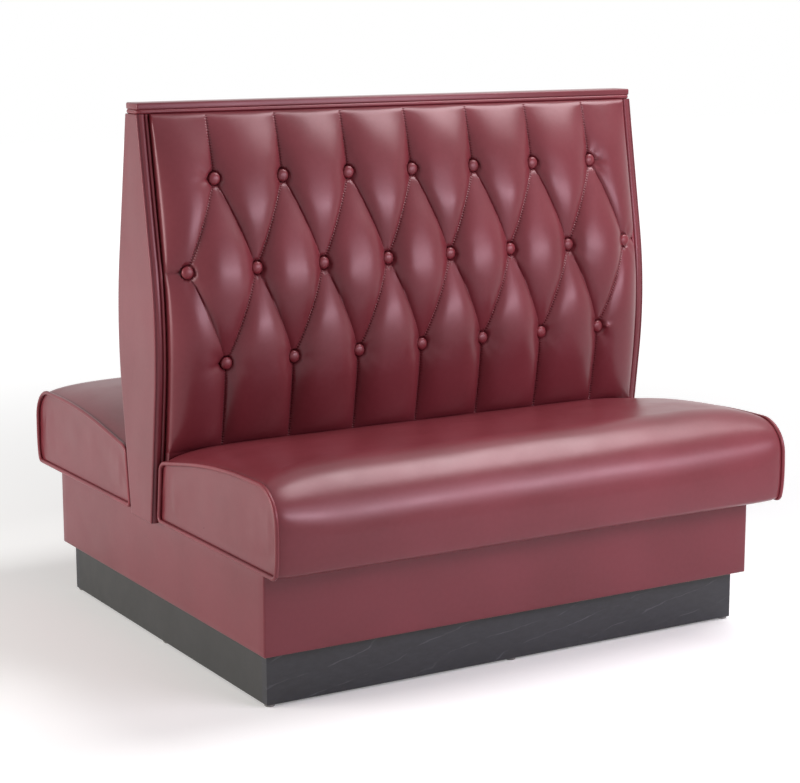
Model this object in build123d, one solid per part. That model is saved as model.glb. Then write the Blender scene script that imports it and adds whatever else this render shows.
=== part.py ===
from build123d import *
from math import atan2, cos, sin, sqrt, tan
import os

# Double sided restaurant booth: two bench seats back to back on one box base,
# with a curved, button tufted back between them and a recessed plinth.
# Millimetres. X runs along the bench, the front seat faces minus Y, Z is up,
# and the origin is on the floor under the middle of the booth.

os.makedirs("parts", exist_ok=True)

# Overall sizes
overall_height = 1067.0
base_width = 1104.0
base_depth = 955.0
base_height = 156.0
plinth_top = 104.0

# How far the other parts stand in or out from the base
plinth_side_setback = 17.0
plinth_front_setback = 26.5
back_side_overhang = 24.0
seat_side_overhang = 17.0
seat_front_overhang = 84.5
cap_side_setback = 2.0

# Boards and skins
board_thickness = 18.0
floor_thickness = 15.0
bent_board_thickness = 6.0
vinyl_thickness = 2.0
base_vinyl_thickness = 1.5
cut_overrun = 20.0

# Plinth
glide_height = 5.0
glide_radius = 10.0
glide_bevel = 1.5
glide_inset = 11.0
corner_block_size = 38.0
lag_radius = 4.0
lag_hole_clearance = 0.5
lag_length = 60.0
lag_head_radius = 7.5
lag_head_height = 5.0
lag_inset = 24.0

# Base
post_size = 35.0
base_corner_radius = 4.0
rib_count = 5
bumper_length = 40.0
bumper_width = 14.0
bumper_thickness = 7.0
bumper_share = 0.74
cleat_length = 200.0
cleat_reach = 40.0
cleat_foot = 10.0
cleat_clearance = 1.0
seat_cleat_thickness = 20.0

# Back outline, as depths from the middle of the booth: foot, bend and top
back_foot_depth = 48.0
back_bend_depth = 96.0
back_top_depth = 26.0
back_bend_share = 0.482
back_bend_radius = 880.0
board_foot_depth = 34.0
board_bend_depth = 62.0
board_top_depth = 16.0
top_rail_height = 40.0
top_rail_tongue = 9.0
block_height = 18.0
mid_block_share = 0.47

# End panels of the back
end_panel_thickness = 18.0
end_edge_radius = 4.0
back_welt_radius = 3.5
spacer_inset = 8.0
end_screw_radius = 2.5
end_screw_length = 36.0
end_screw_head_radius = 5.0
end_screw_head_height = 3.0
end_screw_shares = (0.09, 0.38, 0.89)

# Cap
cap_height = 13.0
cap_corner_radius = 5.0
cap_edge_radius = 4.0
cap_welt_radius = 4.0
cap_welt_corner = 7.0

# Tufted pads: the button rows, then how far pleats and crests swell out
top_row_share = 0.8435
middle_row_share = 0.6247
bottom_row_share = 0.3982
outer_row_count = 7
middle_row_count = 8
pad_side_gap = 2.0
button_side_margin = 38.0
button_proud = 20.0
button_radius = 12.5
button_rim = 3.5
button_dome = 5.5
pocket_radius = 15.0
pocket_depth = 3.0
pleat_rise = 16.0
crest_rise = 38.0
side_rise = 12.0
top_pleat_rise = 1.5
pleat_near_share = 0.34
pleat_far_share = 0.87
pleat_fade_share = 0.75
ridge_far_share = 0.8
ridge_fade_share = 0.72
edge_fade_share = 0.7
split_fade_share = 0.75
side_far_share = 0.75
side_fade_share = 0.6
tuck_fade_share = 0.3
upper_fade_share = 0.8
lower_fade_share = 0.9
lower_crest_share = 0.75
pad_roll_rise = 12.4
pad_foot_rise = 25.0
pad_seat_gap = 1.5
patch_order = 3
join_tolerance = 0.001

# Seats: rises are above the base, depths are from the middle of the booth
seat_rear_rise = 130.0
seat_front_rise = 172.0
seat_back_gap = 18.0
seat_rear_rake = 14.5
seat_front_rake = 8.0
seat_knee_share = 0.512
seat_knee_reach_share = 0.96
seat_rear_radius = 25.0
seat_front_radius = 60.0
seat_front_softening = 45.0
seat_foot_radius = 12.0
seat_crown = 20.0
seat_bulge = 8.0
seat_welt_radius = 3.5
seat_station_shares = (1.0, 0.84, 0.5, 0.0)
crown_power = 6
foam_gap = 0.4
seat_rail_height = 55.0
deck_thickness = 12.0
vent_radius = 12.5
vent_count = 5
vent_rows_share = 0.35
frame_side_inset = 12.0
frame_front_inset = 25.0
frame_rear_inset = 15.0
vinyl_lip = 24.0

# Places worked out from the sizes above
plinth_width = base_width - 2 * plinth_side_setback
plinth_depth = base_depth - 2 * plinth_front_setback
back_width = base_width + 2 * back_side_overhang
cap_length = back_width - 2 * cap_side_setback
base_top = plinth_top + base_height
floor_top = plinth_top + floor_thickness
cap_underside = overall_height - cap_height
back_top = cap_underside - 2 * cap_welt_radius
back_height = back_top - base_top
back_bend_height = base_top + back_bend_share * back_height
mid_block_height = base_top + mid_block_share * back_height
half_frame_length = base_width / 2 - base_vinyl_thickness
half_frame_depth = base_depth / 2 - base_vinyl_thickness
half_inner_depth = half_frame_depth - board_thickness
end_panel_inner = back_width / 2 - end_panel_thickness
rib_pitch = 2 * (half_frame_length - board_thickness / 2) / (rib_count - 1)
rib_centres = [(i - (rib_count - 1) / 2) * rib_pitch for i in range(rib_count)]
rib_names = ["end_frame_left", "rib_left", "rib_centre", "rib_right", "end_frame_right"]
pad_half_width = end_panel_inner - 2 * back_welt_radius - pad_side_gap
button_pitch = 2 * (pad_half_width - button_side_margin) / (middle_row_count - 1)
top_row_height = base_top + top_row_share * back_height
middle_row_height = base_top + middle_row_share * back_height
bottom_row_height = base_top + bottom_row_share * back_height
half_seat = base_width / 2 + seat_side_overhang - 2 * seat_welt_radius
seat_bottom = base_top + bumper_thickness
seat_rear_height = base_top + seat_rear_rise
seat_front_height = base_top + seat_front_rise
seat_rear_foot_depth = back_foot_depth + seat_back_gap
seat_rear_top_depth = seat_rear_foot_depth + seat_rear_rake
seat_front_depth = base_depth / 2 + seat_front_overhang
seat_front_foot_depth = seat_front_depth - seat_front_rake
seat_knee_depth = seat_rear_top_depth + seat_knee_share * (seat_front_depth - seat_rear_top_depth)
seat_soft_radius = seat_front_radius + seat_front_softening
seat_knee_reach = seat_knee_reach_share * (seat_front_depth - seat_knee_depth - seat_soft_radius)
seat_knee_angle = atan2(seat_front_rise - seat_rear_rise, seat_knee_depth - seat_rear_top_depth)
seat_knee_radius = seat_knee_reach / tan(seat_knee_angle / 2)
frame_low = seat_bottom + vinyl_thickness
frame_high = frame_low + seat_rail_height
deck_top = frame_high + deck_thickness
frame_x = half_seat - frame_side_inset
frame_front_y = -(seat_front_foot_depth - frame_front_inset)
frame_rear_y = -(seat_rear_foot_depth + frame_rear_inset)
pad_roll_height = seat_rear_height + pad_roll_rise
pad_foot_height = base_top + pad_foot_rise


def save(name, *shapes):
    solids = [solid for shape in shapes for solid in shape.solids()]
    whole = solids[0] if len(solids) == 1 else Compound(solids)
    export_step(whole, f"parts/{name}.step")


def block(low, high):
    size = [b - a for a, b in zip(low, high)]
    middle = [(a + b) / 2 for a, b in zip(low, high)]
    return Pos(*middle) * Box(*size)


def rear_of(shape):
    return mirror(shape, about=Plane.XZ)


def along_x(outline, x_low, x_high):
    # outline is a face drawn as (y, z), pushed along the bench
    return Pos(x_low, 0, 0) * extrude(Plane.YZ * outline, amount=x_high - x_low)


def flat_sided(points):
    return make_face(Polyline(*points, close=True))


def round_bar(path, radius):
    start = Plane(origin=path @ 0, z_dir=path % 0)
    return sweep(start * Circle(radius), path=path)


def curve_depth(curve, height):
    # depth of a back outline of two lines and one tangent arc at a height
    (foot_depth, foot_z), (bend_depth, bend_z), (top_depth, top_z) = curve
    low_angle = atan2(bend_depth - foot_depth, bend_z - foot_z)
    high_angle = atan2(bend_depth - top_depth, top_z - bend_z)
    reach = back_bend_radius * tan((low_angle + high_angle) / 2)
    if height <= bend_z - reach * cos(low_angle):
        return bend_depth - (bend_z - height) * tan(low_angle)
    if height >= bend_z + reach * cos(high_angle):
        return bend_depth - (height - bend_z) * tan(high_angle)
    out = back_bend_radius / cos((low_angle + high_angle) / 2)
    tilt = (high_angle - low_angle) / 2
    centre_depth = bend_depth - out * cos(tilt)
    centre_z = bend_z - out * sin(tilt)
    return centre_depth + sqrt(back_bend_radius**2 - (height - centre_z) ** 2)


back_curve = (
    (back_foot_depth, base_top),
    (back_bend_depth, back_bend_height),
    (back_top_depth, back_top),
)
board_curve = (
    (board_foot_depth, base_top),
    (board_bend_depth, back_bend_height),
    (board_top_depth, back_top),
)


def both_sides(curve, inset, trim_low, trim_high):
    # closed outline across the whole back, both faces of the curve
    (foot, foot_z), (bend, bend_z), (top, top_z) = curve
    low_z = foot_z + trim_low
    high_z = top_z - trim_high
    side = [
        (curve_depth(curve, low_z) - inset, low_z),
        (bend - inset, bend_z),
        (curve_depth(curve, high_z) - inset, high_z),
    ]
    points = side + [(-depth, z) for depth, z in reversed(side)]
    radii = 2 * [0, back_bend_radius, 0]
    return make_face(FilletPolyline(*points, radius=radii, close=True))


# Plinth


def plinth():
    half_x = plinth_width / 2
    half_y = plinth_depth / 2
    low = glide_height
    front = block((-half_x, -half_y, low), (half_x, -half_y + board_thickness, plinth_top))
    inner_y = half_y - board_thickness
    inner_x = half_x - board_thickness
    left = block((-half_x, -inner_y, low), (-inner_x, inner_y, plinth_top))
    save("plinth_front", front)
    save("plinth_rear", rear_of(front))
    save("plinth_left", left)
    save("plinth_right", mirror(left, about=Plane.YZ))
    half_board = board_thickness / 2
    save("plinth_stretcher", block((-half_board, -inner_y, low), (half_board, inner_y, plinth_top)))
    blocks = []
    for sx in (-1, 1):
        for sy in (-1, 1):
            x = sx * (inner_x - corner_block_size / 2)
            y = sy * (inner_y - corner_block_size / 2)
            height = plinth_top - low
            piece = Pos(x, y, low + height / 2) * Box(corner_block_size, corner_block_size, height)
            hole = Pos(*lag_place(sx, sy), plinth_top) * Cylinder(lag_radius, 2 * lag_depth())
            blocks.append(piece - hole)
    save("plinth_corner_blocks", *blocks)
    glide_x = half_x - glide_inset
    glide_y = half_y - glide_inset
    places = [(sx * glide_x, sy * glide_y) for sx in (-1, 0, 1) for sy in (-1, 1)]
    places += [(-glide_x, 0), (glide_x, 0)]
    glide = Cylinder(glide_radius, glide_height, align=(Align.CENTER, Align.CENTER, Align.MIN))
    glide = chamfer(glide.edges().group_by(Axis.Z)[0], glide_bevel)
    save("glides", *[Pos(x, y, 0) * glide for x, y in places])


def lag_place(sx, sy):
    inner_x = plinth_width / 2 - board_thickness
    inner_y = plinth_depth / 2 - board_thickness
    return (sx * (inner_x - lag_inset), sy * (inner_y - lag_inset))


def lag_depth():
    return lag_length - floor_thickness


# Base box


def base():
    x = half_frame_length
    y = half_frame_depth
    floor = block((-x, -y, plinth_top), (x, y, floor_top))
    front = block((-x, -y, floor_top), (x, -half_inner_depth, base_top))
    shank_base = (Align.CENTER, Align.CENTER, Align.MAX)
    head_base = (Align.CENTER, Align.CENTER, Align.MIN)
    lags = []
    for sx in (-1, 1):
        for sy in (-1, 1):
            place = Pos(*lag_place(sx, sy), floor_top)
            floor -= place * Cylinder(lag_radius + lag_hole_clearance, 2 * floor_thickness)
            shank = Cylinder(lag_radius, lag_length, align=shank_base)
            head = Cylinder(lag_head_radius, lag_head_height, align=head_base)
            lags.append(place * (shank + head))
    save("base_floor", floor)
    save("base_front_panel", front)
    save("base_rear_panel", rear_of(front))
    save("plinth_lag_screws", *lags)
    save("base_corner_posts", *corner_posts())
    half_x = base_width / 2
    half_y = base_depth / 2
    outer = block((-half_x, -half_y, plinth_top), (half_x, half_y, base_top))
    outer = fillet(outer.edges().filter_by(Axis.Z), base_corner_radius)
    inner = block((-x, -y, plinth_top - cut_overrun), (x, y, base_top + cut_overrun))
    save("base_vinyl", outer - inner)
    save("seat_bumpers", *bumpers())
    cleats = cleat_pair(cleat_outline())
    save("base_cleats", *cleats, *[rear_of(cleat) for cleat in cleats])


def corner_posts():
    # square posts that stand clear of the lag screw heads
    height = base_top - floor_top - lag_head_height
    x = half_frame_length - board_thickness - post_size / 2
    y = half_inner_depth - post_size / 2
    post = Pos(0, 0, base_top - height / 2) * Box(post_size, post_size, height)
    return [Pos(sx * x, sy * y, 0) * post for sx in (-1, 1) for sy in (-1, 1)]


def cleat_pair(corners):
    outline = flat_sided(corners)
    half = cleat_length / 2
    return [along_x(outline, x - half, x + half) for x in (-rib_pitch / 2, rib_pitch / 2)]


def cleat_outline():
    # bevelled strip on the inner face of the front panel, seen from its end
    wall = -half_inner_depth
    return [
        (wall, base_top),
        (wall, base_top - cleat_reach - cleat_foot),
        (wall + cleat_reach, base_top - cleat_reach - cleat_foot),
        (wall + cleat_reach, base_top - cleat_reach),
    ]


def bumpers():
    # long ones under the seat's bearer, small ones under its rear rail
    front_y = -half_frame_depth + board_thickness / 2
    rear_y = -(seat_rear_foot_depth + bumper_width)
    z = base_top + bumper_thickness / 2
    long_bumper = Box(bumper_length, bumper_width, bumper_thickness)
    small_bumper = Box(bumper_width, bumper_width, bumper_thickness)
    front_x = bumper_share * half_frame_length
    pieces = [Pos(x, front_y, z) * long_bumper for x in (-front_x, 0, front_x)]
    pieces += [Pos(x, rear_y, z) * small_bumper for x in (rib_centres[0], 0, rib_centres[-1])]
    return pieces + [rear_of(piece) for piece in pieces]


# Ribs: base side and back upright cut from one board


def ribs():
    upright = both_sides(board_curve, bent_board_thickness, 0, top_rail_height)
    y = half_inner_depth
    outline = upright + flat_sided([(-y, floor_top), (y, floor_top), (y, base_top), (-y, base_top)])
    for name, x in zip(rib_names, rib_centres):
        rib = along_x(outline, x - board_thickness / 2, x + board_thickness / 2)
        if name.startswith("end_frame"):
            for place in end_screw_places(1 if x > 0 else -1):
                rib -= place * Cylinder(end_screw_radius, 2 * end_screw_length)
        save(name, rib)
    top_depth = board_top_depth - bent_board_thickness
    low_depth = curve_depth(board_curve, back_top - top_rail_height) - bent_board_thickness
    half = [
        (low_depth, back_top - top_rail_height),
        (top_depth, back_top),
        (top_rail_tongue, back_top),
        (top_rail_tongue, cap_underside),
    ]
    rail = flat_sided(half + [(-depth, z) for depth, z in reversed(half)])
    save("back_top_rail", along_x(rail, -half_frame_length, half_frame_length))
    blocks = []
    for low_z in (base_top, mid_block_height):
        high_z = low_z + block_height
        low = curve_depth(board_curve, low_z) - bent_board_thickness
        high = curve_depth(board_curve, high_z) - bent_board_thickness
        outline = flat_sided([(low, low_z), (high, high_z), (-high, high_z), (-low, low_z)])
        for left, right in zip(rib_centres, rib_centres[1:]):
            blocks.append(along_x(outline, left + board_thickness / 2, right - board_thickness / 2))
    save("back_blocks", *blocks)


# Back boards, end panels, welts and cap


def back_side(curve, inset, raise_foot):
    # one face of the back as an open line on the minus Y side
    foot_z = curve[0][1] + raise_foot
    points = [(curve_depth(curve, foot_z), foot_z)] + list(curve[1:])
    points = [(-(depth - inset), z) for depth, z in points]
    return FilletPolyline(*points, radius=back_bend_radius)


def back_boards():
    outer = both_sides(board_curve, 0, 0, 0)
    inner = both_sides(board_curve, bent_board_thickness, 0, 0)
    shell = along_x(outer - inner, -half_frame_length, half_frame_length)
    sides = shell.solids().sort_by(Axis.Y)
    save("back_board_front", sides[0])
    save("back_board_rear", sides[-1])


def end_screw_places(side):
    # screws run outwards through the end frame and spacer into the end board
    head_x = side * (half_frame_length - board_thickness)
    heights = [base_top + share * back_height for share in end_screw_shares]
    return [Pos(head_x, 0, z) * Rot(0, 90, 0) for z in heights]


def end_panels():
    inner_x = end_panel_inner
    outer_x = back_width / 2
    panel = along_x(both_sides(back_curve, 0, 0, 0), inner_x, outer_x)
    panel = fillet(panel.faces().sort_by(Axis.X)[-1].edges(), end_edge_radius)
    skin = vinyl_thickness
    board = along_x(both_sides(back_curve, skin, skin, skin), inner_x, outer_x - skin)
    cover = panel - board
    spacer = along_x(both_sides(back_curve, spacer_inset, 0, spacer_inset), half_frame_length, inner_x)
    start = (Align.CENTER, Align.CENTER, Align.MIN)
    finish = (Align.CENTER, Align.CENTER, Align.MAX)
    screws = []
    for place in end_screw_places(1):
        hole = place * Cylinder(end_screw_radius, 2 * end_screw_length)
        board -= hole
        spacer -= hole
        shank = Cylinder(end_screw_radius, end_screw_length, align=start)
        head = Cylinder(end_screw_head_radius, end_screw_head_height, align=finish)
        screws.append(place * (shank + head))
    for name, piece in (("end_board", board), ("end_cover", cover), ("end_spacer", spacer)):
        save(f"{name}_right", piece)
        save(f"{name}_left", mirror(piece, about=Plane.YZ))
    save("end_screws", *screws, *[mirror(screw, about=Plane.YZ) for screw in screws])
    line = Plane.YZ * back_side(back_curve, back_welt_radius, back_welt_radius)
    welt_x = inner_x - back_welt_radius
    welts = []
    for x in (-welt_x, welt_x):
        cord = round_bar(Pos(x, 0, 0) * line, back_welt_radius)
        welts += [cord, rear_of(cord)]
    save("back_welts", *welts)


def cap():
    half_x = cap_length / 2
    half_y = back_top_depth
    outer = block((-half_x, -half_y, cap_underside), (half_x, half_y, overall_height))
    outer = fillet(outer.edges().filter_by(Axis.Z), cap_corner_radius)
    outer = fillet(outer.edges().group_by(Axis.Z)[-1], cap_edge_radius)
    skin = vinyl_thickness
    board = block(
        (-half_x + skin, -half_y + skin, cap_underside),
        (half_x - skin, half_y - skin, overall_height - skin),
    )
    board = fillet(board.edges().filter_by(Axis.Z), cap_corner_radius - skin)
    save("cap_board", board)
    save("cap_cover", outer - board)
    x = half_x - cap_welt_radius
    y = half_y - cap_welt_radius
    corners = [(-x, -y), (x, -y), (x, y), (-x, y)]
    ring = FilletPolyline(*corners, radius=cap_welt_corner, close=True)
    ring = Pos(0, 0, back_top + cap_welt_radius) * ring
    save("cap_welt", round_bar(ring, cap_welt_radius))


# Tufted pads: each field between pleats is one bicubic patch. A control point
# is (x, z, proud), where proud is how far it stands in front of the back line.


def node(x, z):
    return (x, z, button_proud)


def place_point(point):
    x, z, proud = point
    return Vector(x, -(curve_depth(back_curve, z) + proud), z)


def between(a, b, share):
    return tuple(p + (q - p) * share for p, q in zip(a, b))


def run(a, b, rise=0.0):
    # four control points from a to b, the middle two raised
    inner = [between(a, b, i / patch_order) for i in (1, 2)]
    return [a] + [(x, z, proud + rise) for x, z, proud in inner] + [b]


def field(first, last, low, high, prouds):
    # first, last: edges across; low, high: edges along; prouds: 2 by 2 inner heights
    grid = [list(first), [low[1], None, None, high[1]], [low[2], None, None, high[2]], list(last)]
    for i in (1, 2):
        start = between(first[0], last[0], i / patch_order)
        finish = between(first[3], last[3], i / patch_order)
        for j in (1, 2):
            across = between(first[j], last[j], i / patch_order)
            along = between(low[i], high[i], j / patch_order)
            corners = between(start, finish, j / patch_order)
            x, z, _ = [a + b - c for a, b, c in zip(across, along, corners)]
            grid[i][j] = (x, z, prouds[i - 1][j - 1])
    return Face.make_bezier_surface([[place_point(point) for point in row] for row in grid])


def row_places(count):
    return [(i - (count - 1) / 2) * button_pitch for i in range(count)]


def edge_knot(x, upper):
    # where a pleat or ridge meets the straight top or bottom edge of the pad
    if upper:
        return (x, back_top, 0.0)
    roll_depth = seat_rear_depth(pad_roll_height) - pad_seat_gap
    return (x, pad_roll_height, roll_depth - curve_depth(back_curve, pad_roll_height))


def edge_run(start, upper, rise):
    # from a button up to the top edge, or down to the roll above the seat
    end = edge_knot(start[0], upper)
    near_z = start[1] + pleat_near_share * (end[1] - start[1])
    far_z = start[1] + pleat_far_share * (end[1] - start[1])
    near = (start[0], near_z, start[2] + rise)
    far = (start[0], far_z, start[2] + rise * pleat_fade_share)
    return [start, near, far, end]


def ridge_run(start, row_z, upper, crest):
    # from a middle row button over the crest of its field to the pad's edge: it
    # leaves the button as steeply as the pleats do, so the two halves meet smoothly
    end = edge_knot(start[0], upper)
    near_z = start[1] + (row_z - start[1]) / patch_order * crest_rise / pleat_rise
    far_z = start[1] + ridge_far_share * (end[1] - start[1])
    return [start, (start[0], near_z, crest), (start[0], far_z, crest * ridge_fade_share), end]


def outer_fields(upper):
    # the fields between the outer row and the top edge, or the roll at the seat
    row_z = top_row_height if upper else bottom_row_height
    crest = button_proud + crest_rise
    faces = []
    pleats = [edge_run(node(x, row_z), upper, top_pleat_rise) for x in row_places(outer_row_count)]
    for i, peak in enumerate(row_places(middle_row_count)[1:-1]):
        ridge = ridge_run(node(peak, middle_row_height), row_z, upper, crest)
        inner = [[ridge[1][2], crest], [ridge[2][2], crest * edge_fade_share]]
        for pleat in pleats[i : i + 2]:
            across = run(ridge[0], pleat[0], pleat_rise)
            edge = run(ridge[-1], pleat[-1])
            faces.append(field(across, edge, ridge, pleat, inner))
    for side, pleat in ((-1, pleats[0]), (1, pleats[-1])):
        faces += end_fields(side, upper, pleat)
    return faces


def side_point(start, end, share, proud):
    return (start[0], between(start, end, share)[1], proud)


def end_fields(side, upper, pleat):
    # the last field beside an end panel, in two patches above and below its outer button
    first = pleat[0]
    last = node(side * (middle_row_count - 1) / 2 * button_pitch, middle_row_height)
    x = side * pad_half_width
    corner = edge_knot(x, upper)
    tuck = (x, middle_row_height, 0.0)
    split = (x, first[1], side_rise * split_fade_share)
    split_line = run(first, split, pleat_rise)
    upper_side = [
        split,
        side_point(split, corner, 1 / patch_order, side_rise),
        side_point(split, corner, side_far_share, side_rise * side_fade_share),
        corner,
    ]
    lower_side = [
        split,
        side_point(split, tuck, 1 / patch_order, side_rise),
        side_point(split, tuck, 2 / patch_order, side_rise),
        tuck,
    ]
    crest = button_proud + crest_rise
    near = split_line[1][2]
    far = split_line[2][2]
    upper_prouds = [[near, near * upper_fade_share], [far, far * upper_fade_share]]
    lower_prouds = [[crest * lower_crest_share, far], [crest * edge_fade_share, far * lower_fade_share]]
    top_edge = run(pleat[-1], corner)
    diagonal = run(first, last, pleat_rise)
    short_tuck = run(last, tuck, pleat_rise * tuck_fade_share)
    return [
        field(pleat, upper_side, split_line, top_edge, upper_prouds),
        field(split_line, short_tuck, diagonal, lower_side, lower_prouds),
    ]


def diamonds():
    middle = [node(x, middle_row_height) for x in row_places(middle_row_count)]
    crest = button_proud + crest_rise
    faces = []
    for i, x in enumerate(row_places(outer_row_count)):
        left, right = middle[i : i + 2]
        top = node(x, top_row_height)
        bottom = node(x, bottom_row_height)
        first = run(left, top, pleat_rise)
        last = run(bottom, right, pleat_rise)
        low = run(left, bottom, pleat_rise)
        high = run(top, right, pleat_rise)
        faces.append(field(first, last, low, high, [[crest, crest], [crest, crest]]))
    return faces


def pad_flank(x, edges):
    # closes the pad at x: its front edges, the board line behind and the tail below
    line = Pos(x, 0, 0) * (Plane.YZ * back_side(board_curve, 0, pad_foot_rise))
    low_front = Vector(x, -(seat_rear_depth(pad_foot_height) - pad_seat_gap), pad_foot_height)
    ring = [edge for edge in edges if abs(edge.center().X - x) < join_tolerance]
    ring += line.edges()
    ring.append(Edge.make_line(line @ 0, low_front))
    ring.append(Edge.make_line(low_front, place_point(edge_knot(x, False))))
    ring.append(Edge.make_line(place_point(edge_knot(x, True)), line @ 1))
    return Face(Wire(ring)), line, low_front


def pad():
    faces = outer_fields(True) + outer_fields(False) + diamonds()
    edges = [edge for face in faces for edge in face.edges()]
    left_face, left_line, left_low = pad_flank(-pad_half_width, edges)
    right_face, right_line, right_low = pad_flank(pad_half_width, edges)
    faces += [left_face, right_face]
    for upper, left, right in ((True, left_line @ 1, right_line @ 1), (False, left_low, right_low)):
        left_knot = edge_knot(-pad_half_width, upper)
        right_knot = edge_knot(pad_half_width, upper)
        ring = [edge for edge in edges if abs(edge.center().Z - left_knot[1]) < join_tolerance]
        ring.append(Edge.make_line(left, right))
        ring.append(Edge.make_line(place_point(left_knot), left))
        ring.append(Edge.make_line(place_point(right_knot), right))
        faces.append(Face(Wire(ring)))
    corners = [left_line @ 0, right_line @ 0, right_low, left_low]
    faces.append(Face(Wire.make_polygon(corners, close=True)))
    for edge in left_line.edges():
        faces.append(Face.extrude(edge, (2 * pad_half_width, 0, 0)))
    soft = Solid(Shell(faces))
    return soft if soft.volume > 0 else Solid(soft.wrapped.Reversed())


def pads():
    soft = pad()
    buttons = []
    for count, z in (
        (outer_row_count, top_row_height),
        (middle_row_count, middle_row_height),
        (outer_row_count, bottom_row_height),
    ):
        seat_y = -(curve_depth(back_curve, z) + button_proud - pocket_depth)
        for x in row_places(count):
            place = Pos(x, seat_y, z) * Rot(90, 0, 0)
            soft -= place * pocket()
            buttons.append(place * button())
    save("tufted_pad_front", soft)
    save("tufted_pad_rear", rear_of(soft))
    save("buttons_front", *buttons)
    save("buttons_rear", *[rear_of(piece) for piece in buttons])


def pocket():
    return Cylinder(pocket_radius, crest_rise, align=(Align.CENTER, Align.CENTER, Align.MIN))


def button():
    # covered button: short rim and a shallow dome over it
    low = (Align.CENTER, Align.CENTER, Align.MIN)
    rim = Cylinder(button_radius, button_rim, align=low)
    ball_radius = (button_radius**2 + button_dome**2) / (2 * button_dome)
    ball = Pos(0, 0, button_rim + button_dome - ball_radius) * Sphere(ball_radius)
    keep = Pos(0, 0, button_rim) * Cylinder(button_radius, button_dome, align=low)
    return rim + (ball & keep)


# Seats


def seat_rear_depth(height):
    lean = seat_rear_rake / (seat_rear_height - seat_bottom)
    return seat_rear_foot_depth + lean * (height - seat_bottom)


def seat_points(inset, crown):
    # corners of the seat's end outline, as (y, z) on the minus Y side
    rise = seat_crown * crown - inset
    rear_z = seat_rear_height + rise
    front_z = seat_front_height + rise
    front = seat_front_depth + seat_bulge * crown - inset
    corners = [
        (seat_rear_foot_depth + inset, seat_bottom + inset),
        (seat_rear_depth(seat_rear_height + seat_crown * crown) + inset, rear_z),
        (seat_knee_depth, front_z),
        (front, front_z),
        (seat_front_foot_depth - inset, seat_bottom + inset),
    ]
    return [(-depth, z) for depth, z in corners]


def seat_section(inset, crown):
    # the front roll is fuller where the foam crowns up
    radii = [
        seat_foot_radius - inset,
        seat_rear_radius - inset,
        seat_knee_radius,
        seat_front_radius + seat_front_softening * crown - inset,
        seat_foot_radius - inset,
    ]
    return make_face(FilletPolyline(*seat_points(inset, crown), radius=radii, close=True))


def seat_form(inset):
    # between the two end skins; the crown fades out towards both ends
    half = half_seat - vinyl_thickness
    stations = [(-share, share) for share in seat_station_shares]
    stations += [(share, share) for share in reversed(seat_station_shares[:-1])]
    sections = []
    for place, share in stations:
        crown = 1 - share**crown_power
        sections.append(Pos(place * half, 0, 0) * (Plane.YZ * seat_section(inset, crown)))
    return loft(sections)


def seat_cushion():
    low = -(seat_front_foot_depth - vinyl_lip)
    high = -(seat_rear_foot_depth + vinyl_lip)
    opening = block(
        (-half_seat + vinyl_lip, low, seat_bottom - cut_overrun),
        (half_seat - vinyl_lip, high, seat_bottom + 2 * vinyl_thickness),
    )
    skin = along_x(seat_section(0, 0), half_seat - vinyl_thickness, half_seat)
    inside = block((-frame_x, frame_front_y, seat_bottom), (frame_x, frame_rear_y, deck_top))
    path = Plane.YZ * FilletPolyline(*welt_points(), radius=welt_radii())
    welt_x = half_seat + seat_welt_radius
    return {
        "cover": [seat_form(0) - seat_form(vinyl_thickness) - opening],
        "foam": [seat_form(vinyl_thickness + foam_gap) - inside],
        "end_skins": [mirror(skin, about=Plane.YZ), skin],
        "welts": [round_bar(Pos(x, 0, 0) * path, seat_welt_radius) for x in (-welt_x, welt_x)],
    }


def seat_frame():
    x = frame_x
    inner_x = frame_x - board_thickness
    front_y = frame_front_y
    rear_y = frame_rear_y
    inner_front_y = front_y + board_thickness
    inner_rear_y = rear_y - board_thickness
    left = block((-x, inner_front_y, frame_low), (-inner_x, inner_rear_y, frame_high))
    deck = block((-x, front_y, frame_high), (x, rear_y, deck_top))
    vent = Cylinder(vent_radius, 2 * (deck_thickness + cut_overrun))
    for i in range(vent_count):
        vent_x = (i - (vent_count - 1) / 2) * 2 * x / vent_count
        for share in (vent_rows_share, 1 - vent_rows_share):
            deck -= Pos(vent_x, front_y + (rear_y - front_y) * share, deck_top) * vent
    # the bearer crosses the frame above the base's front panel and rests on the bumpers
    bearer = block((-inner_x, -half_frame_depth, seat_bottom), (inner_x, -half_inner_depth, frame_high))
    return {
        "rail_front": [block((-x, front_y, frame_low), (x, inner_front_y, frame_high))],
        "rail_rear": [block((-x, inner_rear_y, frame_low), (x, rear_y, frame_high))],
        "rail_left": [left],
        "rail_right": [mirror(left, about=Plane.YZ)],
        "deck": [deck],
        "cleats": [bearer] + cleat_pair(seat_cleat_outline()),
    }


def welt_points():
    points = seat_points(seat_welt_radius, 0.0)
    first = (points[0][0], seat_bottom)
    last = (points[-1][0], seat_bottom)
    return [first] + points[1:-1] + [last]


def welt_radii():
    return [seat_rear_radius - seat_welt_radius, seat_knee_radius, seat_front_radius - seat_welt_radius]


def seat_cleat_outline():
    # hangs from the deck, its foot cut to the bevel of the base cleat
    near = -(half_inner_depth - cleat_reach)
    far = near - seat_cleat_thickness
    slope_z = base_top - cleat_reach + cleat_clearance
    return [(near, frame_high), (far, frame_high), (far, slope_z + seat_cleat_thickness), (near, slope_z)]


def seats():
    pieces = {**seat_cushion(), **seat_frame()}
    for name, shapes in pieces.items():
        save(f"front_seat_{name}", *shapes)
        save(f"rear_seat_{name}", *[rear_of(shape) for shape in shapes])


plinth()
base()
ribs()
back_boards()
end_panels()
cap()
pads()
seats()
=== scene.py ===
import math
import bmesh
import bpy
import numpy as np
from mathutils import Matrix, Vector, noise


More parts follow.
